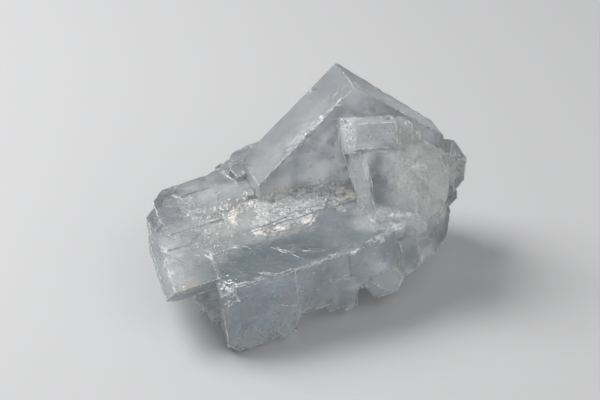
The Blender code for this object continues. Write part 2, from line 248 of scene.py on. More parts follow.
def wear(mesh, outer):
    """Takes chips out of the sharp edges, and gives the flat faces their slight unevenness
    and the tops of the low tablets their thin scalloped plates of later growth."""
    mesh.normal_update()
    lobe, ragged, grown = ready(LOBE), ready(RAGGED), ready(OVERGROWN)
    druse, low_right = ready(DRUSE), ready(LOWER_RIGHT)
    ribbed = mesh.verts.layers.float.new("ribbed")
    plate = mesh.verts.layers.float.new("plate")
    rim = mesh.verts.layers.float.new("rim")
    moves = []
    for vert in mesh.verts:
        place = vert.co / MM
        depth = edge_wear(vert.co, outer) + face_swell(place)
        vert[ribbed] = share_of(lobe, place + noise.noise_vector(place * 0.3) * 1.6, 0.6)
        depth += vert[ribbed] * lobe_relief(place)
        vert[plate] = 0.6 * max(0.0, vert[ribbed] - 0.35)
        broken = share_of(ragged, place)
        if broken > 0.02:
            depth += broken * BROKEN_BITE * max(0.0, noise.noise(place * 0.40) + 0.05)
        spread = share_of(grown, place) if vert.normal.z > 0.8 else 0.0
        if spread > 0.02:
            lower, upper = overgrowth(place, 0) * spread, overgrowth(place, 1) * spread
            depth -= LOWER_PLATE * lower + UPPER_PLATE * upper
            vert[plate] = max(vert[plate], 0.6 * lower + 0.4 * upper)
            vert[rim] = min(1.0, 3.4 * (lower * (1 - lower) + upper * (1 - upper)))
        rough = share_of(druse, place) + share_of(low_right, place)
        depth += rough * ROUGH_LUMP * (noise.noise(place * 0.9) + 0.5)
        moves.append(vert.normal * (-depth * MM))
    for vert, move in zip(mesh.verts, moves):
        vert.co += move


# Without a seed of its own, noise_vector starts from the clock and is new on every run.
noise.seed_set(NOISE_SEED)
skin = merged_copy("barite")
edge_places = edge_points(skin, True, 0.3 * MM)
fold_places = edge_points(skin, False, 0.4 * MM)
outer_tree, inner_tree = tree_of(edge_places), tree_of(fold_places)
knocked_edges = sharp_runs(skin, 1.2 * MM)
ease_edges(skin, LONG_EDGE, LONG_EDGE_FLAT, 2)
bmesh.ops.triangulate(skin, faces=skin.faces)
cut_small(skin, SKIN_STEP)
cut_small(skin, FINE_STEP, (OVERGROWN, SMALL_CRYSTAL))
soften(skin, LOBE, 9)
soften(skin, DRUSE, 3)
soften(skin, LOWER_RIGHT, 2)
soften(skin, RAGGED, 7)
soften(skin, LEFT_STEPS, 2)
soften(skin, SEAM, 8)
wear(skin, outer_tree)
skin_tree = BVHTree.FromBMesh(skin)

# The crystal's tints, each as it looks in daylight, 0 to 255. Most are its own colours, but the window
# tints are painted shade, the lamp glare tint is a painted highlight, and the pale tint also paints
# light onto the upright's left strip.
PLAIN = (156, 158, 160)
# The window tints are painted shade: clearer crystal painted dark, as if a dark backdrop showed
# through it.
DARK_WINDOW_SHADE = (76, 77, 75)
WINDOW_SHADE = (84, 86, 82)
BLUE_WINDOW_SHADE = (78, 83, 88)
SMOKY = (106, 107, 110)
DEEP_BLUE = (106, 117, 121)
SLATE = (120, 128, 133)
DIM = (122, 122, 124)
CLEAR_GREY = (131, 131, 129)
DUSTY_BLUE = (132, 138, 144)
BLUE = (134, 145, 155)
GREY = (141, 145, 146)
MISTY = (148, 150, 152)
SUGARY = (164, 162, 157)
PALE = (164, 164, 165)
PALER = (172, 174, 175)
CLOUDY = (180, 181, 182)
MILKY = (184, 186, 187)
WHITISH = (200, 201, 199)
# A painted highlight: the white of a lamp's glare.
PAINTED_LAMP_GLARE = (250, 250, 250)
CREAMY = (205, 190, 165)
RUSTY = (205, 170, 125)

# Where it is bluer, milkier, clearer or stained, or painted lighter or darker for light and shade:
# frame, middle and half size in mm, tint, roughness of the face there, and how strongly it takes.
PLAIN_ROUGH = 0.38
ZONES = [
    (LOW_GROUP, (-2.0, 36.0, -0.3), (10.0, 9.0, 1.6), SMOKY, 0.42, 1.0),
    (LOW_GROUP, (-5.0, 14.0, -0.5), (8.6, 10.5, 1.8), PALER, 0.50, 1.0),
    (LOW_GROUP, (-12.0, 16.0, -4.0), (2.2, 15.0, 4.5), MISTY, 0.42, 1.0),
    (LOW_GROUP, (8.5, 29.0, 0.3), (5.0, 9.0, 1.6), PALE, 0.52, 1.0),
    (LOW_GROUP, (14.5, 5.2, 0.2), (15.8, 7.2, 2.2), DEEP_BLUE, 0.22, 1.0),
    (LOW_GROUP, (2.0, 13.0, 0.0), (3.5, 3.0, 1.2), MISTY, 0.35, 0.8),
    (LOW_GROUP, (33.0, 10.0, 0.0), (7.0, 8.0, 1.8), DUSTY_BLUE, 0.34, 1.0),
    (LOW_GROUP, (6.5, -0.8, -6.0), (8.0, 2.4, 7.0), BLUE, 0.44, 1.0),
    (LOW_GROUP, (22.0, -0.6, -5.5), (9.0, 2.2, 7.0), DUSTY_BLUE, 0.46, 1.0),
    (LOW_GROUP, (37.0, 3.6, -5.0), (8.5, 5.0, 7.5), SLATE, 0.40, 1.0),
    (LOW_GROUP, (7.0, -1.4, -15.0), (10.0, 3.0, 3.4), GREY, 0.50, 1.0),
    (LOW_GROUP, (-0.8, 8.0, -7.0), (1.4, 9.0, 7.0), GREY, 0.40, 0.9),
    (LOW_GROUP, (-6.0, 13.0, -10.0), (5.5, 9.0, 5.0), MISTY, 0.42, 0.9),
    (LOW_GROUP, (22.0, 2.0, -14.0), (9.0, 5.0, 3.4), GREY, 0.40, 0.9),
    (LOW_GROUP, (17.5, 22.5, 0.4), (12.5, 4.4, 1.4), WHITISH, 0.70, 0.9),
    (LOW_GROUP, (15.0, 15.0, 0.2), (12.0, 2.4, 1.2), PALER, 0.46, 0.8),
    (UPRIGHT, (0.0, -13.0, 0.0), (12.0, 9.0, 2.0), MISTY, 0.30, 1.0),
    (UPRIGHT, (-9.0, -21.0, 0.0), (6.0, 5.0, 2.0), CLOUDY, 0.44, 1.0),
    # Painted light: the upright's left strip faces the key lamp, and this zone and the next paint it
    # paler.
    (UPRIGHT, (-11.0, -9.0, -7.0), (9.0, 7.0, 7.0), PALE, 0.40, 1.0),
    (UPRIGHT, (-20.0, -19.0, -7.0), (6.0, 6.0, 7.0), PALE, 0.40, 1.0),
    # Painted shade: the upright's clear window, painted dark as if a dark backdrop showed through.
    (UPRIGHT, (0.5, -17.6, 0.0), (5.0, 3.6, 1.6), DARK_WINDOW_SHADE, 0.20, 0.9),
    (UPRIGHT, (-14.0, -23.0, 0.0), (2.4, 2.4, 1.6), CLEAR_GREY, 0.28, 0.8),
    (LEANING, (0.0, 20.5, 0.0), (8.5, 3.4, 4.0), MILKY, 0.48, 1.0),
    # Painted shade: the leaning crystal's clear window, painted dark as if a dark backdrop showed
    # through.
    (LEANING, (2.6, 9.8, 0.0), (3.5, 6.2, 1.6), WINDOW_SHADE, 0.12, 1.0),
    (LEANING, (2.0, 0.5, 0.0), (7.0, 2.4, 3.0), MILKY, 0.52, 1.0),
    # A thin bright line painted along the top of that window.
    (LEANING, (2.4, 16.3, 0.0), (3.8, 0.5, 1.4), MILKY, 0.36, 0.8),
    (LEANING, (-3.4, 9.0, -2.6), (2.0, 8.0, 3.2), WHITISH, 0.46, 0.9),
    # Thin bright lines painted along the two sides of that window.
    (LEANING, (-1.3, 9.6, 0.0), (0.6, 6.6, 1.4), MILKY, 0.44, 0.7),
    (LEANING, (6.2, 9.6, 0.0), (0.5, 6.4, 1.4), PALER, 0.36, 0.6),
    # Painted highlight: a lamp's white glare on the leaning crystal's left face, painted into the
    # tint.
    (WHOLE, (8.7, 2.0, 36.0), (1.8, 2.8, 3.8), PAINTED_LAMP_GLARE, 0.60, 1.0),
    # Painted shade: a clear window in the lower right, painted dark as if a dark backdrop showed
    # through.
    (WHOLE, (30.5, 1.1, 14.0), (4.2, 6.0, 5.2), BLUE_WINDOW_SHADE, 0.16, 1.0),
    (WHOLE, (24.9, -6.4, 13.0), (4.2, 5.0, 6.0), CLEAR_GREY, 0.26, 0.9),
    (WHOLE, (20.0, -11.0, 6.0), (6.0, 6.0, 4.5), GREY, 0.40, 0.9),
    (WHOLE, (26.0, 0.1, 28.0), (8.0, 9.0, 11.0), SUGARY, 0.56, 1.0),
    (WHOLE, (35.0, 16.6, 20.5), (5.6, 7.0, 9.0), CLEAR_GREY, 0.30, 1.0),
    (WHOLE, (-17.0, 16.6, 20.0), (8.0, 6.6, 6.0), DIM, 0.36, 1.0),
    (WHOLE, (-6.0, 2.8, 22.1), (0.9, 0.9, 0.8), RUSTY, 0.60, 0.45),
    (WHOLE, (-24.9, -26.8, 15.8), (1.2, 0.9, 0.7), RUSTY, 0.55, 0.45),
    (WHOLE, (-22.7, -23.9, 7.3), (0.8, 0.9, 0.9), RUSTY, 0.55, 0.5),
    (WHOLE, (-3.0, -9.8, 19.1), (0.8, 0.9, 0.8), CREAMY, 0.60, 0.45),
]
WORN_REACH, FOLD_REACH = 0.75 * MM, 2.4 * MM


def daylight(colour):
    """A tint of 0 to 255, as the eye takes it, turned into plain amounts of light."""
    return [((part / 255 + 0.055) / 1.055) ** 2.4 for part in colour]


def paint(mesh, outer, inner):
    """Stores each place's tint and roughness, and how near it is to edges and to folds."""
    tint = mesh.verts.layers.float_color.new("tint")
    worn = mesh.verts.layers.float.new("worn")
    fold = mesh.verts.layers.float.new("fold")
    zones = [
        (ready((stand, middle, half)), daylight(colour), rough, much, min(1.0, min(half[:2]) / 7))
        for stand, middle, half, colour, rough, much in ZONES
    ]
    plain = daylight(PLAIN)
    for vert in mesh.verts:
        place = vert.co / MM
        shift = noise.noise_vector(place * 0.25) * 1.9 + noise.noise_vector(place * 0.8) * 0.7
        colour, rough = plain, PLAIN_ROUGH
        for region, zone_colour, zone_rough, much, loose in zones:
            share = share_of(region, place + shift * loose, 0.55)
            if share > 0.001:
                share *= much
                colour = [a + (b - a) * share for a, b in zip(colour, zone_colour)]
                rough += (zone_rough - rough) * share
        vert[tint] = (*colour, rough)
        vert[worn] = max(0.0, 1 - outer.find(vert.co)[2] / WORN_REACH)
        vert[fold] = max(0.0, 1 - inner.find(vert.co)[2] / FOLD_REACH)


def finish_piece(name, mesh, material, smooth=26):
    """Makes the mesh an object of the cluster, inside its box: smooth where faces meet at
    less than so many degrees."""
    for vert in mesh.verts:
        for axis in range(3):
            vert.co[axis] = min(max(vert.co[axis], cad_low[axis]), cad_high[axis])
    data = bpy.data.meshes.new(name)
    mesh.to_mesh(data)
    mesh.free()
    if smooth:
        data.shade_smooth()
        data.set_sharp_from_angle(angle=math.radians(smooth))
    data.materials.append(material)
    piece = bpy.data.objects.new(name, data)
    bpy.context.scene.collection.objects.link(piece)
    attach(piece, "root")
    return piece


def add_node(tree, kind, inputs=None, **settings):
    """Adds a shader node, sets it up, and links or sets the inputs given."""
    node = tree.nodes.new(kind)
    for name, value in settings.items():
        setattr(node, name, value)
    for key, value in (inputs or {}).items():
        if isinstance(value, bpy.types.NodeSocket):
            tree.links.new(value, node.inputs[key])
        else:
            node.inputs[key].default_value = value
    return node


def stored(tree, name):
    """What the mesh stores for each place under a name."""
    return add_node(tree, "ShaderNodeAttribute", attribute_name=name).outputs["Fac"]


def mixed(tree, share, first, second):
    """A colour between two others, by share."""
    node = add_node(tree, "ShaderNodeMix", {0: share, 6: first, 7: second}, data_type="RGBA")
    return node.outputs[2]


def times(tree, first, second):
    return add_node(tree, "ShaderNodeMath", {0: first, 1: second}, operation="MULTIPLY").outputs[0]


def plus(tree, first, second):
    return add_node(tree, "ShaderNodeMath", {0: first, 1: second}, operation="ADD").outputs[0]


def mask_group(name, sockets):
    """An empty node group that gives out a mask, with its two end nodes."""
    group = bpy.data.node_groups.new(name, "ShaderNodeTree")
    for label, socket, value in sockets:
        made = group.interface.new_socket(label, in_out="INPUT", socket_type=socket)
        if value is not None:
            made.default_value = value
    group.interface.new_socket("Mask", in_out="OUTPUT", socket_type="NodeSocketFloat")
    return group, group.nodes.new("NodeGroupInput"), group.nodes.new("NodeGroupOutput")


def spread_out(group, given, made, value):
    """Turns the middle of a texture's range into a soft mask from 0 to 1."""
    spread = add_node(
        group, "ShaderNodeMapRange",
        {"Value": value, "From Min": given.outputs["Low"], "From Max": given.outputs["High"]},
        interpolation_type="SMOOTHSTEP",
    )
    group.links.new(spread.outputs["Result"], made.inputs["Mask"])


def cloud_group():
    """Milky clouds: a mask of soft patches about Size mm across."""
    group, given, made = mask_group("cloud", [
        ("Place", "NodeSocketVector", None), ("Size", "NodeSocketFloat", 5.0),
        ("Detail", "NodeSocketFloat", 4.0), ("Low", "NodeSocketFloat", 0.45),
        ("High", "NodeSocketFloat", 0.65), ("Seed", "NodeSocketFloat", 0.0),
    ])
    scale = add_node(group, "ShaderNodeMath", {0: 1.0, 1: given.outputs["Size"]}, operation="DIVIDE")
    texture = add_node(
        group, "ShaderNodeTexNoise",
        {
            "Vector": given.outputs["Place"], "W": given.outputs["Seed"], "Scale": scale.outputs[0],
            "Detail": given.outputs["Detail"], "Distortion": 0.35,
        },
        noise_dimensions="4D",
    )
    spread_out(group, given, made, texture.outputs["Fac"])
    return group


def streak_group():
    """Fine lines of growth or cleavage: a mask drawn out along one turned direction."""
    group, given, made = mask_group("streaks", [
        ("Place", "NodeSocketVector", None), ("Turn", "NodeSocketVector", None),
        ("Stretch", "NodeSocketVector", None), ("Low", "NodeSocketFloat", 0.5),
        ("High", "NodeSocketFloat", 0.7),
    ])
    turned = add_node(
        group, "ShaderNodeMapping",
        {
            "Vector": given.outputs["Place"], "Rotation": given.outputs["Turn"],
            "Scale": given.outputs["Stretch"],
        },
    )
    texture = add_node(
        group, "ShaderNodeTexNoise",
        {"Vector": turned.outputs[0], "Scale": 1.0, "Detail": 3.0, "Distortion": 0.3},
    )
    spread_out(group, given, made, texture.outputs["Fac"])
    return group


cloud, streaks = cloud_group(), streak_group()


def cloud_mask(tree, place, size, low, high, seed=0.0, detail=4.0):
    """Places the clouds in a material: size in mm, and where in the noise they start and fill."""
    return add_node(
        tree, "ShaderNodeGroup",
        {"Place": place, "Size": size, "Low": low, "High": high, "Seed": seed, "Detail": detail},
        node_tree=cloud,
    ).outputs["Mask"]


def streak_mask(tree, place, turn, stretch, low, high):
    """Places the lines in a material: turned by degrees, and how many cross a mm each way."""
    turn = [math.radians(angle) for angle in turn]
    return add_node(
        tree, "ShaderNodeGroup",
        {"Place": place, "Turn": turn, "Stretch": stretch, "Low": low, "High": high},
        node_tree=streaks,
    ).outputs["Mask"]


def new_material(name, transmission, ior):
    """A material with plain transmission, and each place on it measured in mm."""
    material = bpy.data.materials.new(name)
    material.use_nodes = True
    tree = material.node_tree
    tree.nodes.clear()
    shader = add_node(
        tree, "ShaderNodeBsdfPrincipled", {"Transmission Weight": transmission, "IOR": ior}
    )
    add_node(tree, "ShaderNodeOutputMaterial", {"Surface": shader.outputs[0]})
    coordinates = tree.nodes.new("ShaderNodeTexCoord")
    place = add_node(
        tree, "ShaderNodeVectorMath", {0: coordinates.outputs["Object"], "Scale": 1 / MM},
        operation="SCALE",
    )
    return material, tree, shader, place.outputs[0]


def spread_share(tree, value, low, high):
    """A share that starts at low and is whole from high on."""
    return add_node(
        tree, "ShaderNodeMapRange", {"Value": value, "From Min": low, "From Max": high},
        interpolation_type="SMOOTHSTEP",
    ).outputs["Result"]


BARITE_IOR, CRYSTAL_CLEAR = 1.636, 0.80
MILK, SMOKE, HAZE = (0.74, 0.76, 0.77, 1), (0.20, 0.23, 0.25, 1), (0.38, 0.46, 0.56, 1)
# The frost white is partly a painted highlight, on the crystal's edges and in the chips' specks.
CREAM, FROST_AND_GLINT, WISP = (0.70, 0.63, 0.50, 1), (0.93, 0.94, 0.95, 1), (0.82, 0.84, 0.84, 1)
# The sugar white is partly painted sparkle on the lobe's grains.
RIB_WHITE, SUGAR_SPARKLE_WHITE = (0.86, 0.86, 0.84, 1), (0.95, 0.94, 0.92, 1)
PLATE_WHITE, RIM_CREAM = (0.93, 0.935, 0.93, 1), (0.90, 0.85, 0.74, 1)
INNER_TINT, INNER_DENSITY = (0.865, 0.892, 0.908, 1), 20.0
TINT_BRIGHTENED, LEDGE_HEIGHT, BUMP_HEIGHT = 2.3, 0.035, 0.12 * MM


def crystal_colour(tree, place, masks):
    """The stored tint under clouds and wisps, with later growth over it, lobe specks that are partly
    painted sparkle, and frosted edges that are partly a painted highlight.
    """
    tint = add_node(tree, "ShaderNodeAttribute", attribute_name="tint").outputs["Color"]
    colour = add_node(
        tree, "ShaderNodeVectorMath", {0: tint, "Scale": TINT_BRIGHTENED}, operation="SCALE"
    ).outputs[0]
    big = cloud_mask(tree, place, 6.5, 0.50, 0.70, 1.0, 5.0)
    dark = cloud_mask(tree, place, 3.6, 0.52, 0.70, 3.0, 6.0)
    blue = cloud_mask(tree, place, 5.0, 0.50, 0.62, 8.0, 3.0)
    wisps = streak_mask(tree, place, (10, -20, -28), (0.22, 1.2, 0.5), 0.54, 0.72)
    creamy = times(tree, stored(tree, "fold"), cloud_mask(tree, place, 1.0, 0.46, 0.62, 5.0, 3.0))
    rims = times(tree, stored(tree, "rim"), cloud_mask(tree, place, 2.6, 0.40, 0.60, 7.0, 3.0))
    layers = [
        (big, 0.32, MILK), (blue, 0.26, HAZE), (dark, 0.34, SMOKE), (wisps, 0.62, WISP),
        (masks["small"], 0.34, MILK), (creamy, 0.30, CREAM), (masks["ribs"], 0.35, RIB_WHITE),
        # The lobe's sugar specks: partly the grains' own white, partly painted sparkle.
        (masks["sugar"], 0.45, SUGAR_SPARKLE_WHITE), (masks["plate"], 0.70, PLATE_WHITE),
        # Last: the frosted edges, whitened partly as a painted highlight.
        (rims, 0.75, RIM_CREAM), (masks["rubbed_and_highlight"], 1.0, FROST_AND_GLINT),
    ]
    for mask, strength, layer in layers:
        colour = mixed(tree, times(tree, mask, strength), colour, layer)
    return colour


def crystal_height(tree, place, masks):
    """Fine grain, growth lines and low steps, with ribs and sugar on the lobe."""
    lines = streak_mask(tree, place, (0, 6, -24), (0.10, 2.4, 2.4), 0.42, 0.70)
    grain = add_node(
        tree, "ShaderNodeTexNoise", {"Vector": place, "Scale": 1.9, "Detail": 6.0, "Roughness": 0.62}
    ).outputs["Fac"]
    ledge = add_node(
        tree, "ShaderNodeTexNoise", {"Vector": place, "Scale": 0.16, "Detail": 3.0}
    ).outputs["Fac"]
    stepped = add_node(
        tree, "ShaderNodeMath", {0: ledge, 1: LEDGE_HEIGHT}, operation="SNAP"
    ).outputs[0]
    height = plus(tree, times(tree, grain, 0.5), times(tree, lines, 0.30))
    height = plus(tree, height, times(tree, stepped, 6.0))
    return plus(tree, height, times(tree, plus(tree, masks["ribs"], masks["sugar"]), 0.8))


def crystal_material():
    """Milky barite: partly see-through, with clouds, fine growth lines, and worn, frosted edges that
    carry a painted highlight.
    """
    material, tree, shader, place = new_material("barite_skin", CRYSTAL_CLEAR, BARITE_IOR)
    ribbed, plate = stored(tree, "ribbed"), stored(tree, "plate")
    ribs = streak_mask(tree, place, (0, 8, 0), (1.7, 1.7, 0.22), 0.46, 0.64)
    sugar = cloud_mask(tree, place, 0.5, 0.50, 0.60, 9.0, 3.0)
    glint = cloud_mask(tree, place, 0.30, 0.57, 0.66, 4.0, 2.0)
    patchy = cloud_mask(tree, place, 2.2, 0.42, 0.62, 6.0, 2.0)
    small = cloud_mask(tree, place, 1.5, 0.50, 0.74, 2.0, 4.0)
    # The edge whitening is partly real frosting and partly a painted highlight, with painted glints in
    # it.
    worn = times(tree, stored(tree, "worn"), patchy)
    rubbed_and_highlight = times(tree, worn, plus(tree, times(tree, glint, 0.5), 0.45))
    masks = {
        "small": small, "ribs": times(tree, ribbed, ribs), "sugar": times(tree, ribbed, sugar),
        "plate": plate, "rubbed_and_highlight": rubbed_and_highlight,
    }
    tree.links.new(crystal_colour(tree, place, masks), shader.inputs["Base Color"])
    stored_rough = add_node(tree, "ShaderNodeAttribute", attribute_name="tint").outputs["Alpha"]
    rough = plus(tree, times(tree, stored_rough, 0.5), times(tree, small, 0.08))
    rough = plus(tree, rough, times(tree, plus(tree, rubbed_and_highlight, plate), 0.15))
    tree.links.new(rough, shader.inputs["Roughness"])
    height = crystal_height(tree, place, masks)
    bump = add_node(
        tree, "ShaderNodeBump", {"Height": height, "Strength": 0.55, "Distance": BUMP_HEIGHT}
    )
    tree.links.new(bump.outputs[0], shader.inputs["Normal"])
    inner = add_node(
        tree, "ShaderNodeVolumeAbsorption", {"Color": INNER_TINT, "Density": INNER_DENSITY}
    )
    tree.links.new(inner.outputs[0], tree.get_output_node("ALL").inputs["Volume"])
    return material


paint(skin, outer_tree, inner_tree)
crystals = finish_piece("crystals", skin, crystal_material())
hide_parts("barite")

# ---------------------------------------------------------------------------------------
# Bright chips. Barite cleaves easily, so tiny flat chips and steps of clean new cleavage
# stand along the knocked edges and at the bruised corners, and flash white in the light.

CHIP_KINDS, CHIP_CLEAR, CHIP_SHADE = 8, 0.20, (0.72, 0.74, 0.75, 1)
LOOSE_CHIP, BRUISE_CHIP, CRACK_SLIVER, EDGE_SLIVER = (0.12, 0.42), (0.2, 0.9), (0.5, 2.2), (0.25, 1.1)
SLIVER_WIDE, SLIVER_HIGH, SLIVER_SUNK = (0.08, 0.24), 0.35, 0.02
SLIVER_SPACING, ABOVE_FLOOR = 0.42 * MM, 0.6 * MM

# Bruised corners: middle in mm, reach, how many chips.
BRUISES = [
    ((-18.3, -27.1, 16.6), 2.4, 20), ((-17.0, -29.0, 16.2), 2.2, 18),
    ((-15.7, -30.0, 14.4), 1.6, 12), ((-17.4, -30.9, 13.4), 1.4, 8),
    ((2.8, 7.1, 38.4), 0.8, 8), ((24.7, 1.8, 37.4), 0.9, 10),
    ((26.3, 3.5, 34.6), 1.0, 12), ((18.4, -8.7, 21.3), 1.2, 18),
    ((20.6, -9.0, 21.9), 1.3, 24), ((22.2, -9.0, 22.4), 1.0, 14),
    ((31.6, 1.7, 28.9), 1.0, 10), ((31.2, -3.1, 26.7), 1.0, 8),
    ((34.8, 17.1, 23.2), 1.4, 10), ((8.5, 2.4, 38.2), 1.2, 22),
    ((8.7, 2.0, 36.6), 1.3, 34), ((8.9, 1.4, 34.6), 1.2, 30),
    ((10.0, -18.2, 18.8), 1.0, 14), ((16.0, -13.4, 19.3), 1.6, 26),
    ((19.7, -11.0, 20.3), 1.4, 20), ((-29.8, -21.9, 15.6), 1.0, 14),
]
# Bundles of slivers along cracks: from and to in mm, how wide, how many slivers.
CRACKS = [
    ((-4.6, 5.8, 31.6), (2.2, 7.0, 37.6), 1.3, 56),
    ((-6.9, 6.4, 31.2), (-2.5, 7.4, 35.0), 0.5, 9),
    ((-7.6, -15.6, 18.2), (-2.6, -19.4, 18.4), 0.5, 15),
    ((-1.6, -17.4, 18.5), (3.6, -18.0, 19.0), 0.3, 6),
    ((-10.8, -24.7, 17.2), (-6.6, -25.4, 17.6), 0.4, 10),
    ((-16.2, -14.2, 17.9), (-13.6, -15.0, 18.1), 0.4, 5),
    ((24.0, 2.0, 38.0), (26.6, 2.2, 35.6), 0.2, 18),
    ((25.0, 3.2, 36.6), (27.4, 4.0, 34.6), 0.2, 18),
    ((25.4, 4.0, 34.6), (27.6, 5.4, 33.0), 0.2, 14),
    ((13.6, -2.2, 31.4), (14.4, -5.0, 26.0), 0.3, 6),
    ((9.2, 12.0, 44.0), (6.0, 11.0, 41.0), 0.5, 8),
    ((20.0, 9.5, 38.0), (27.5, 11.2, 33.6), 0.4, 9),
    ((-24.5, 4.0, 18.5), (-20.0, 7.6, 18.9), 0.7, 7),
    ((-12.2, -5.2, 19.2), (-4.0, -2.0, 20.1), 1.4, 12),
    ((-18.0, -29.6, 15.9), (-4.4, -23.9, 17.25), 0.35, 36),
    ((-4.4, -23.9, 17.25), (9.9, -18.0, 18.8), 0.35, 34),
    ((10.3, -17.6, 18.9), (21.6, -8.6, 20.6), 0.45, 30),
    ((-6.0, -27.0, 10.5), (-2.0, -25.2, 9.0), 0.5, 5),
    ((8.0, -20.3, 12.5), (12.0, -17.2, 11.0), 0.6, 6),
]


def standing(up, along):
    """A turn that points Z up and X as near as may be along."""
    across = up.cross(along).normalized()
    return Matrix((across.cross(up), across, up)).transposed().to_4x4()


def set_down(whole, small, at, up, along, size):
    """Adds a copy of a small mesh, at a place and in a size given in metres."""
    copy = small.copy()
    copy.transform(Matrix.Translation(at) @ standing(up, along) @ Matrix.Diagonal((*size, 1.0)))
    whole.from_mesh(copy)
    bpy.data.meshes.remove(copy)


def any_way(chance):
    return Vector([chance.uniform(-1, 1) for _ in range(3)])


def flat_chips(kinds, chance):
    """Small uneven flat chips with a little thickness, each as a mesh 1 mm across."""
    chips = []
    for number in range(kinds):
        mesh = bmesh.new()
        bmesh.ops.create_circle(mesh, cap_ends=True, radius=0.5, segments=chance.choice((5, 6, 7)))
        for vert in mesh.verts:
            vert.co *= chance.uniform(0.55, 1.15)
            vert.co.x *= 1.5
        grown = bmesh.ops.extrude_face_region(mesh, geom=mesh.faces[:])["geom"]
        for vert in (item for item in grown if isinstance(item, bmesh.types.BMVert)):
            vert.co = vert.co * 0.8 + Vector((0, 0, 0.16))
        bmesh.ops.recalc_face_normals(mesh, faces=mesh.faces)
        chips.append(bpy.data.meshes.new(f"chip_{number}"))
        mesh.to_mesh(chips[-1])
        mesh.free()
    return chips


def chip_spots(chance):
    """Where each chip stands, how loose that is, its size, and which way it lies if it does."""
    spots = []
    for point in edge_places:
        wish = max(0.0, noise.noise(point / MM * 0.35) + 0.10) * 0.7
        if point.z > ABOVE_FLOOR and chance.random() < wish:
            spots.append((point, 0.22, chance.uniform(*LOOSE_CHIP), None))
    for at, reach, count in BRUISES:
        for _ in range(count):
            away = Vector([chance.gauss(0, 0.45) for _ in range(3)]) * reach
            spots.append(((Vector(at) + away) * MM, 0.1, chance.uniform(*BRUISE_CHIP), None))
    for start, end in knocked_edges:
        along = (end - start).normalized()
        for _ in range(round((end - start).length / SLIVER_SPACING)):
            middle = start.lerp(end, chance.random())
            if middle.z > ABOVE_FLOOR and noise.noise(middle / MM * 0.22) > chance.uniform(-0.5, 0.15):
                spots.append((middle, 0.06, chance.uniform(*EDGE_SLIVER), along))
    for start, end, wide, count in CRACKS:
        start, end = Vector(start), Vector(end)
        along = (end - start).normalized()
        for _ in range(count):
            middle = start.lerp(end, chance.random())
            spots.append((middle * MM, wide, chance.uniform(*CRACK_SLIVER), along))
    return spots


def scatter_chips(chance):
    """Sets every chip on the skin: slivers along their edge, the others any way round."""
    whole = bmesh.new()
    chips = flat_chips(CHIP_KINDS, chance)
    for point, loose, size, along in chip_spots(chance):
        point = point + any_way(chance) * loose * MM
        near, normal = skin_tree.find_nearest(point)[:2]
        size *= MM
        if along:
            along = along + any_way(chance) * 0.15
            form = (size, chance.uniform(*SLIVER_WIDE) * MM, SLIVER_HIGH * MM)
            up, sunk = (normal + any_way(chance) * 0.10).normalized(), SLIVER_SUNK * MM
        else:
            along = any_way(chance)
            form = (size, size * chance.uniform(0.4, 1.0), size * chance.uniform(0.5, 1.2))
            up, sunk = (normal + any_way(chance) * 0.3).normalized(), size * 0.05
        set_down(whole, chance.choice(chips), near - normal * sunk, up, along, form)
    for chip in chips:
        bpy.data.meshes.remove(chip)
    return whole


def chip_material():
    """Clean cleavage: bright, partly see-through, with an uneven lustre."""
    material, tree, shader, place = new_material("bright_chips", CHIP_CLEAR, BARITE_IOR)
    speck = cloud_mask(tree, place, 0.5, 0.40, 0.60, 11.0, 2.0)
    tree.links.new(mixed(tree, speck, CHIP_SHADE, FROST_AND_GLINT), shader.inputs["Base Color"])
    tree.links.new(plus(tree, times(tree, speck, 0.2), 0.14), shader.inputs["Roughness"])
    return material


finish_piece("bright_chips", scatter_chips(random.Random(41)), chip_material(), 0)

# ---------------------------------------------------------------------------------------
# Pale plates. Thin plates of later barite cover the tops of the low tablets, whiter than the
# crystal and with scalloped cream rims, and a fine sugary film covers the rough lump on the
# right. Each grew on the face it covers.

PLATE_FROM, PLATE_SUNK, PLATE_THICK, FILM_IOR = 0.04, 0.02 * MM, 0.05 * MM, 1.3
PLATE_GREY, PLATE_PALE = (0.70, 0.72, 0.73, 1), (0.86, 0.86, 0.85, 1)
PLATE_RIM, LOBE_FILM = (0.88, 0.82, 0.71, 1), (0.72, 0.71, 0.66, 1)


def pale_plates():
    """The skin's own faces where it is overgrown, lifted a little and closed below."""
    mesh = bmesh.new()
    mesh.from_mesh(crystals.data)
    plate = mesh.verts.layers.float["plate"]
    bare = [face for face in mesh.faces if min(vert[plate] for vert in face.verts) < PLATE_FROM]
    bmesh.ops.delete(mesh, geom=bare, context="FACES")
    mesh.normal_update()
    for vert in mesh.verts[:]:
        vert.co -= vert.normal * PLATE_SUNK
        rims = [edge for edge in vert.link_edges if edge.is_boundary]
        if len(rims) > 2:
            bmesh.utils.vert_separate(vert, rims)
    top = bmesh.ops.extrude_face_region(mesh, geom=mesh.faces[:])["geom"]
    mesh.normal_update()
    for vert in (item for item in top if isinstance(item, bmesh.types.BMVert)):
        vert.co += vert.normal * PLATE_THICK
    bmesh.ops.recalc_face_normals(mesh, faces=mesh.faces)
    return mesh


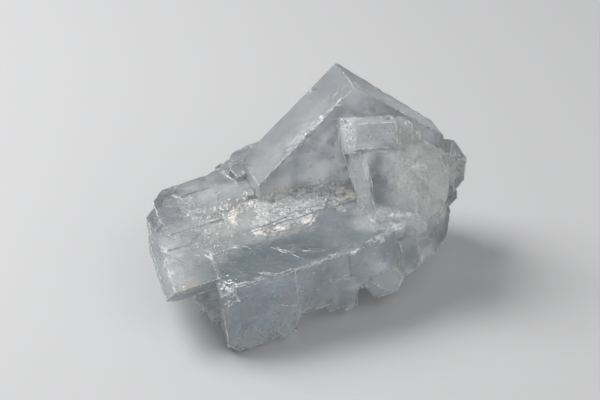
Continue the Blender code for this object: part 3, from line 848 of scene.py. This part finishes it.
def plate_material():
    """Milky film, thin in places, creamier and denser along its rims."""
    material, tree, shader, place = new_material("pale_plates", 0.0, FILM_IOR)
    plate, rim, ribbed = stored(tree, "plate"), stored(tree, "rim"), stored(tree, "ribbed")
    patchy = cloud_mask(tree, place, 2.6, 0.40, 0.60, 7.0, 3.0)
    fine = cloud_mask(tree, place, 0.6, 0.40, 0.66, 51.0, 4.0)
    colour = mixed(tree, fine, PLATE_GREY, PLATE_PALE)
    colour = mixed(tree, times(tree, times(tree, rim, patchy), 0.7), colour, PLATE_RIM)
    colour = mixed(tree, ribbed, colour, LOBE_FILM)
    tree.links.new(colour, shader.inputs["Base Color"])
    tree.links.new(plus(tree, times(tree, fine, 0.2), 0.42), shader.inputs["Roughness"])
    dense = times(tree, times(tree, rim, rim), 0.38)
    dense = plus(tree, dense, times(tree, plus(tree, patchy, fine), 0.28))
    ribs = streak_mask(tree, place, (0, 8, 0), (1.9, 1.9, 0.24), 0.44, 0.62)
    sugar = cloud_mask(tree, place, 0.42, 0.46, 0.60, 9.0, 3.0)
    drusy = plus(tree, times(tree, ribs, 0.24), times(tree, sugar, 0.16))
    drusy = times(tree, drusy, plus(tree, times(tree, patchy, 0.8), 0.3))
    dense = add_node(tree, "ShaderNodeMix", {0: ribbed, 2: dense, 3: drusy}).outputs[0]
    seen = times(tree, dense, spread_share(tree, plate, PLATE_FROM, 0.36))
    tree.links.new(seen, shader.inputs["Alpha"])
    return material


finish_piece("pale_plates", pale_plates(), plate_material(), 0)

# ---------------------------------------------------------------------------------------
# The sugary crust. Where the crystals meet, later barite has grown over them as a crust of
# tiny blocky crystals, white to cream with a little rusty stain. It grew fast to the skin.

CRUST_WHITE, CRUST_CREAM, CRUST_RUST = (0.86, 0.87, 0.87), (0.84, 0.80, 0.71), (0.72, 0.52, 0.32)
CRUST_KINDS, CRUST_CLEAR, CRUST_GLINT = 7, 0.20, (0.9, 0.9, 0.88, 1)
CRUST_SPREAD, CRUST_TILT, CRUST_LIFT = 0.6, 0.7, 0.08

# Patches: middle and half size in mm in the low group's frame, how many crystals, the largest
# in mm, and the shares of cream and rusty ones.
CRUST = [
    ((21.5, 25.8, 1.0), (10.5, 1.8, 1.0), 620, 0.52, 0.45, 0.01),
    ((12.0, 29.6, 1.2), (3.2, 1.2, 1.0), 150, 0.60, 0.60, 0.06),
    ((24.0, 21.5, 0.9), (9.0, 3.0, 0.8), 380, 0.42, 0.30, 0.0),
    ((8.5, 23.5, 0.4), (4.0, 5.0, 0.8), 300, 0.42, 0.35, 0.0),
    ((6.0, 31.0, 0.3), (2.4, 7.5, 0.8), 200, 0.42, 0.35, 0.0),
    ((18.4, 14.9, 0.3), (1.4, 1.4, 0.5), 60, 0.45, 0.70, 0.08),
    ((-7.8, 5.6, -0.8), (1.6, 1.1, 0.8), 46, 0.42, 0.70, 0.35),
    ((-1.6, 5.0, -9.5), (1.4, 2.2, 2.6), 50, 0.45, 0.70, 0.25),
    ((34.0, 19.0, 2.0), (3.6, 3.5, 1.4), 180, 0.50, 0.40, 0.01),
    ((3.0, 16.0, 0.1), (4.0, 3.0, 0.6), 110, 0.36, 0.25, 0.0),
]


def tiny_crystals(kinds, chance):
    """Small rhombic blocks with a corner or two cut, each as a mesh about 1 mm across."""
    made = []
    for number in range(kinds):
        mesh = bmesh.new()
        bmesh.ops.create_cube(mesh, size=1.0)
        slant = Matrix(((1, 0.2, 0), (0, 1, 0), (0, 0, chance.uniform(0.5, 1.0)))).to_4x4()
        bmesh.ops.transform(mesh, matrix=slant, verts=mesh.verts)
        for _ in range(2):
            away = Vector([chance.choice((-1, 1)) for _ in range(3)])
            away.z = abs(away.z)
            cut = bmesh.ops.bisect_plane(
                mesh, geom=mesh.verts[:] + mesh.edges[:] + mesh.faces[:],
                plane_co=away * chance.uniform(0.24, 0.34), plane_no=away, clear_outer=True,
            )
            rim = [item for item in cut["geom_cut"] if isinstance(item, bmesh.types.BMEdge)]
            if rim:
                bmesh.ops.edgeloop_fill(mesh, edges=rim)
        bmesh.ops.recalc_face_normals(mesh, faces=mesh.faces)
        mesh.verts.layers.float_color.new("tint")
        made.append(bpy.data.meshes.new(f"tiny_{number}"))
        mesh.to_mesh(made[-1])
        mesh.free()
    return made


def crust_colour(chance, cream, rust):
    """White, cream or rusty, each crystal a little brighter or darker than the next."""
    pick = chance.random()
    colour = CRUST_RUST if pick < rust else CRUST_CREAM if pick < rust + cream else CRUST_WHITE
    bright = chance.uniform(0.8, 1.15)
    return [part * bright for part in colour]


def crust_place(chance, middle, half):
    """A place in a patch, more often near its middle."""
    away = [max(-1.6, min(1.6, chance.gauss(0, CRUST_SPREAD))) for _ in range(3)]
    return LOW_GROUP @ Vector([m + a * h for m, a, h in zip(middle, away, half)])


def grow_crust(chance):
    """Sets the tiny crystals on the skin, leaving bare gaps between their patches."""
    whole = bmesh.new()
    kinds = tiny_crystals(CRUST_KINDS, chance)
    for middle, half, count, largest, cream, rust in CRUST:
        for _ in range(count):
            place = crust_place(chance, middle, half)
            if noise.noise(place * 0.6) < -0.10:
                continue
            near, normal = skin_tree.find_nearest(place * MM)[:2]
            size = largest * chance.uniform(0.3, 1.0) ** 1.5 * MM
            kind = chance.choice(kinds)
            tint = [*crust_colour(chance, cream, rust), 1.0] * len(kind.vertices)
            kind.attributes["tint"].data.foreach_set("color", tint)
            up = (normal + any_way(chance) * CRUST_TILT).normalized()
            along = any_way(chance)
            form = (size, size * chance.uniform(0.6, 1.0), size * chance.uniform(0.5, 0.9))
            set_down(whole, kind, near + normal * size * CRUST_LIFT, up, along, form)
    for kind in kinds:
        bpy.data.meshes.remove(kind)
    return whole


def crust_material():
    """Sugary barite: whitish to cream grains, half see-through."""
    material, tree, shader, place = new_material("crust", CRUST_CLEAR, BARITE_IOR)
    tint = add_node(tree, "ShaderNodeAttribute", attribute_name="tint").outputs["Color"]
    speck = cloud_mask(tree, place, 0.4, 0.45, 0.65, 21.0, 3.0)
    colour = mixed(tree, times(tree, speck, 0.3), tint, CRUST_GLINT)
    tree.links.new(colour, shader.inputs["Base Color"])
    tree.links.new(plus(tree, times(tree, speck, 0.25), 0.28), shader.inputs["Roughness"])
    return material


finish_piece("sugary_crust", grow_crust(random.Random(52)), crust_material(), 0)

# ---------------------------------------------------------------------------------------
# Veils. Inside the crystals lie healed cracks and cleavage planes, which show through the
# skin as thin milky sheets. Each was part of the crystal all along.

VEIL_UNDER, VEIL_THICK, VEIL_IOR = 0.4 * MM, 0.04, 1.02
VEIL_GREY, VEIL_WHITE = (0.74, 0.77, 0.79, 1), (0.95, 0.95, 0.95, 1)

# Each sheet: frame, middle in mm, half width and half depth, how it is turned in degrees.
VEILS = [
    (UPRIGHT, (-10.0, -14.0, -4.0), (6.0, 5.0), (0, 0, 40)),
    (UPRIGHT, (-4.0, -9.0, -6.5), (5.0, 4.0), (20, 70, 10)),
    (UPRIGHT, (4.0, -10.0, -3.5), (5.0, 3.5), (0, 6, -30)),
    (UPRIGHT, (-14.0, -21.0, -5.5), (3.5, 5.0), (75, 10, 40)),
    (UPRIGHT, (-3.0, -22.0, -5.0), (7.0, 3.5), (8, 4, 42)),
    (UPRIGHT, (8.0, -14.0, -6.0), (5.0, 5.0), (10, 60, 0)),
    (LEANING, (-1.5, 12.0, -2.6), (2.2, 7.0), (0, 60, 0)),
    (LEANING, (3.0, 18.0, -2.4), (4.0, 2.2), (50, 0, 0)),
    (LEANING, (7.4, 9.0, -2.8), (2.0, 6.5), (0, -55, 6)),
    (LOW_GROUP, (-4.0, 15.0, -3.0), (3.4, 6.5), (4, 3, 8)),
    (LOW_GROUP, (10.0, 7.0, -4.2), (8.0, 3.5), (12, 0, 10)),
    (LOW_GROUP, (20.0, 8.0, -6.5), (6.5, 4.5), (60, 0, 4)),
    (LOW_GROUP, (5.0, 5.0, -8.0), (4.0, 4.5), (70, 20, 0)),
    (LOW_GROUP, (31.0, 11.0, -5.0), (5.0, 5.0), (30, 10, 30)),
    (LOW_GROUP, (-2.0, 33.0, -3.0), (6.0, 5.0), (5, -6, 20)),
    (LOW_GROUP, (7.0, 1.0, -7.5), (7.0, 5.0), (86, 0, 0)),
    (LOW_GROUP, (11.0, 2.2, -11.0), (5.5, 4.0), (80, 10, 4)),
    (LOW_GROUP, (24.0, 1.2, -6.5), (6.5, 4.5), (84, 4, 0)),
    (LOW_GROUP, (37.0, 5.5, -5.0), (4.5, 4.5), (75, 10, 15)),
    (WHOLE, (30.0, 4.0, 15.0), (3.5, 3.5), (40, 20, 0)),
]


def add_veil(whole, stand, middle, half, turn, seed):
    """One thin closed sheet, a little buckled and with a wavy outline, kept under the skin."""
    sheet = bmesh.new()
    bmesh.ops.create_grid(sheet, x_segments=24, y_segments=24, size=1.0)
    for vert in sheet.verts:
        across = max(abs(vert.co.x), abs(vert.co.y), 1e-6) / max(vert.co.length, 1e-6)
        way = vert.co.normalized() * 1.3 + Vector((0, 0, seed * 2.9))
        vert.co *= across * (1 + 0.35 * noise.noise(way) + 0.2 * noise.noise(way * 3))
        buckle = noise.noise(Vector((vert.co.x * 1.5, vert.co.y * 1.5, seed)))
        vert.co = Vector((vert.co.x * half[0], vert.co.y * half[1], buckle * 0.5))
    place = Matrix.Scale(MM, 4) @ stand @ turned_frame(middle, turn)
    bmesh.ops.transform(sheet, matrix=place, verts=sheet.verts)
    for vert in sheet.verts:
        near, normal = skin_tree.find_nearest(vert.co)[:2]
        if (vert.co - near).dot(normal) > -VEIL_UNDER:
            vert.co = near - normal * VEIL_UNDER
    bmesh.ops.remove_doubles(sheet, verts=sheet.verts, dist=0.02 * MM)
    thick = place.to_3x3() @ Vector((0, 0, VEIL_THICK))
    grown = bmesh.ops.extrude_face_region(sheet, geom=sheet.faces[:])["geom"]
    top = [item for item in grown if isinstance(item, bmesh.types.BMVert)]
    bmesh.ops.translate(sheet, vec=thick, verts=top)
    bmesh.ops.recalc_face_normals(sheet, faces=sheet.faces)
    part = bpy.data.meshes.new("veil")
    sheet.to_mesh(part)
    sheet.free()
    whole.from_mesh(part)
    bpy.data.meshes.remove(part)


def veil_material():
    """A healed crack: a milky film with holes in it."""
    material, tree, shader, place = new_material("veil", 0.0, VEIL_IOR)
    film = cloud_mask(tree, place, 2.4, 0.42, 0.72, 31.0, 6.0)
    fine = cloud_mask(tree, place, 0.7, 0.40, 0.70, 32.0, 3.0)
    tree.links.new(mixed(tree, fine, VEIL_GREY, VEIL_WHITE), shader.inputs["Base Color"])
    tree.links.new(plus(tree, times(tree, fine, 0.2), 0.5), shader.inputs["Roughness"])
    seen = times(tree, times(tree, film, plus(tree, fine, 0.5)), 0.5)
    tree.links.new(seen, shader.inputs["Alpha"])
    return material


veils = bmesh.new()
for number, veil in enumerate(VEILS):
    add_veil(veils, *veil, number)
finish_piece("veils", veils, veil_material(), 30)

# ---------------------------------------------------------------------------------------
# The room. The cluster lies on a pale matt floor, in soft light from all round and from a
# large soft lamp on its left, with a weaker lamp in front on its right.

CAMERA_AT, LOOK_AT = Vector((-1.930, -437.743, 274.03)), Vector((-1.930, 0.687, 20.9))
FLOOR_HALF, FLOOR_GREY, FLOOR_ROUGH = 3.0, (0.50, 0.50, 0.505, 1), 0.8
SKY_WHITE, SKY_STRENGTH = (0.98, 0.99, 1.0, 1), 0.36
LAMPS_LOOK_AT = Vector((0, 0, 20))
# Name, place in mm, size in metres, power in watts.
LAMPS = [("key", (-320, 120, 420), 0.35, 3.3), ("fill", (260, -320, 300), 0.45, 0.8)]


def make_floor():
    mesh = bmesh.new()
    bmesh.ops.create_grid(mesh, x_segments=1, y_segments=1, size=FLOOR_HALF)
    data = bpy.data.meshes.new("floor")
    mesh.to_mesh(data)
    mesh.free()
    floor = bpy.data.objects.new("floor", data)
    bpy.context.scene.collection.objects.link(floor)
    material = bpy.data.materials.new("floor")
    material.use_nodes = True
    shader = material.node_tree.nodes["Principled BSDF"]
    shader.inputs["Base Color"].default_value = FLOOR_GREY
    shader.inputs["Roughness"].default_value = FLOOR_ROUGH
    data.materials.append(material)


def stand_and_face(thing, at, aim):
    """Stands a lamp or a camera at a place in mm, facing another."""
    thing.location = at * MM
    thing.rotation_euler = (at - aim).to_track_quat("Z", "Y").to_euler()
    bpy.context.scene.collection.objects.link(thing)


make_floor()
for name, at, size, watts in LAMPS:
    lamp = bpy.data.lights.new(name, "AREA")
    lamp.size = size
    lamp.energy = watts
    stand_and_face(bpy.data.objects.new(name, lamp), Vector(at), LAMPS_LOOK_AT)

world = bpy.data.worlds.new("sky")
world.use_nodes = True
sky = world.node_tree.nodes["Background"]
sky.inputs["Color"].default_value = SKY_WHITE
sky.inputs["Strength"].default_value = SKY_STRENGTH

camera = bpy.data.objects.new("camera", bpy.data.cameras.new("camera"))
camera.data.lens = 135
camera.data.sensor_width = 36
camera.data.clip_start = 0.01
camera.data.clip_end = 20
stand_and_face(camera, CAMERA_AT, LOOK_AT)

scene = bpy.context.scene
scene.world = world
scene.camera = camera
scene.view_settings.view_transform = "Standard"
scene.cycles.use_denoising = True
scene.cycles.max_bounces = 20
scene.cycles.transmission_bounces = 14
scene.cycles.transparent_max_bounces = 16
scene.cycles.sample_clamp_indirect = 6
